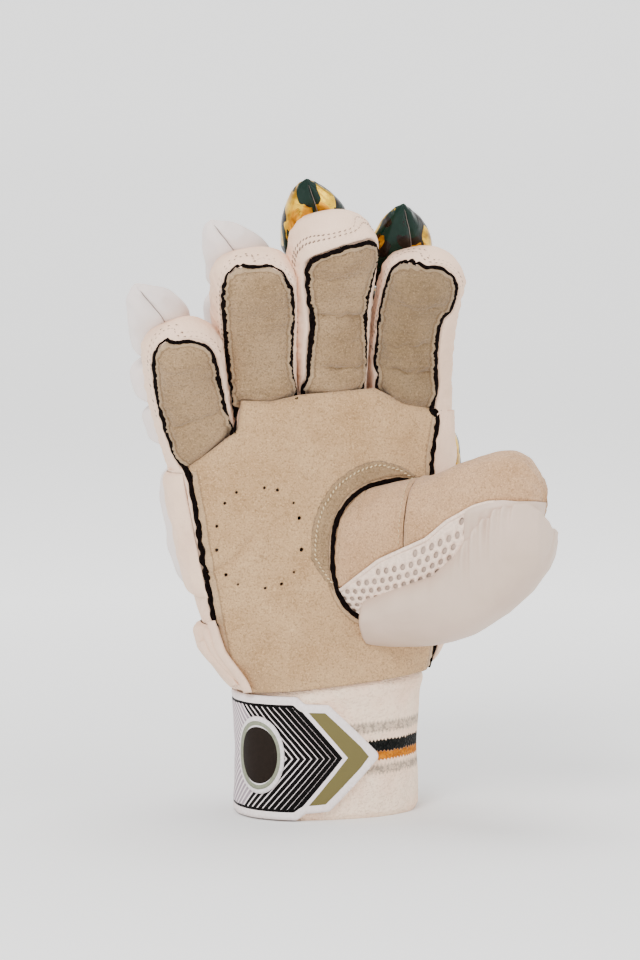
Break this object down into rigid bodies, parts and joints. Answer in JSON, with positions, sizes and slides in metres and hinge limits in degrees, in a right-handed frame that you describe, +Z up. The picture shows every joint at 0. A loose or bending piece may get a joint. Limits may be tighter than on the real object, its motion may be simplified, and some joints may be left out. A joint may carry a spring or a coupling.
{
  "type": "batting glove",
  "caption": "Right-hand padded batting glove with a suede palm, rolled finger guards on the back, a padded thumb and a knitted cuff with a wrist strap, standing on its cuff.",
  "frame": {"origin": "on the plane of the cuff's rim, under the middle of the whole glove's box", "axes": "+Z up from the cuff to the fingertips, +X towards the thumb's side, +Y from the palm to the back of the hand"},
  "size_m": [0.1738, 0.1118, 0.2697],
  "materials": {
    "suede": "soft suede with a fine nap",
    "gusset": "soft off-white leather",
    "binding": "woven black binding",
    "white": "smooth white padded synthetic leather",
    "camouflage": "glossy metallic print in gold, dark green and brown",
    "mesh": "white air mesh",
    "towel": "knitted towelling with grey, black and orange stripes",
    "strap": "printed white synthetic leather",
    "badge": "soft moulded oval, plain"
  },
  "bodies": {
    "root": {"middle_suede": "suede", "middle_binding": "binding", "middle_gusset": "gusset", "middle_roll_1": "camouflage", "middle_roll_2": "camouflage", "middle_roll_tip": "camouflage", "index_suede": "suede", "index_binding": "binding", "index_gusset": "gusset", "index_roll_1": "camouflage", "index_roll_2": "camouflage", "index_roll_tip": "camouflage", "ring_suede": "suede", "ring_binding": "binding", "ring_gusset": "gusset", "ring_roll_1": "white", "ring_roll_2": "white", "ring_roll_tip": "white", "pinky_suede": "suede", "pinky_binding": "binding", "pinky_gusset": "gusset", "pinky_roll_1": "white", "pinky_roll_2": "white", "pinky_roll_tip": "white", "palm_suede": "suede", "palm_binding_left": "binding", "palm_binding_right": "binding", "palm_binding_heel": "binding", "hand_gusset": "gusset", "thumb_hole_binding": "binding", "thumb_facing": "suede", "thumb_suede_base": "suede", "thumb_suede_tip": "suede", "thumb_mesh": "mesh", "thumb_guard": "white", "wrist_roll": "white", "hand_roll_index": "camouflage", "hand_roll_middle": "camouflage", "hand_roll_ring": "white", "hand_roll_pinky": "white", "side_pad": "gusset", "side_tab": "gusset", "cuff": "towel", "wrist_strap": "strap", "strap_badge": "badge"}
  },
  "joints": []
}
